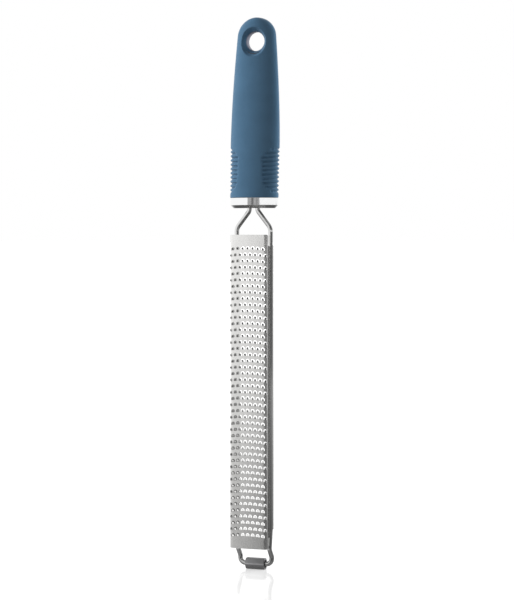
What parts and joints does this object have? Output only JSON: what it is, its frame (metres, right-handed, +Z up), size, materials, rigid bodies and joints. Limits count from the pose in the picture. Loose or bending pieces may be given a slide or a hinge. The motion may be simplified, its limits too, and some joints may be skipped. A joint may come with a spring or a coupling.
{
  "type": "rasp zester",
  "caption": "Upright hand zester: toothed steel channel blade hemmed on a bent wire frame, rubber foot sleeve, steel collar and soft finned grip with a hanging hole.",
  "frame": {"origin": "centre of the foot sleeve's flat underside, under the frame's crossbar", "axes": "+Z up the tool from the foot to the grip's crown, -Y out of the toothed face, +X to the right seen from the toothed side"},
  "size_m": [0.0298, 0.0211, 0.32],
  "materials": {
    "polished_wire": "drawn and polished stainless wire",
    "foot_rubber": "moulded grey rubber, satin",
    "etched_steel": "satin etched stainless sheet",
    "polished_collar": "mirror polished stainless",
    "core_plastic": "moulded plastic, hidden",
    "grip_rubber": "matt soft-touch, fine moulded grain"
  },
  "bodies": {
    "root": {"frame_wire": "polished_wire", "foot_sleeve": "foot_rubber", "blade": "etched_steel", "collar": "polished_collar", "grip_core": "core_plastic", "grip_skin": "grip_rubber"}
  },
  "joints": []
}
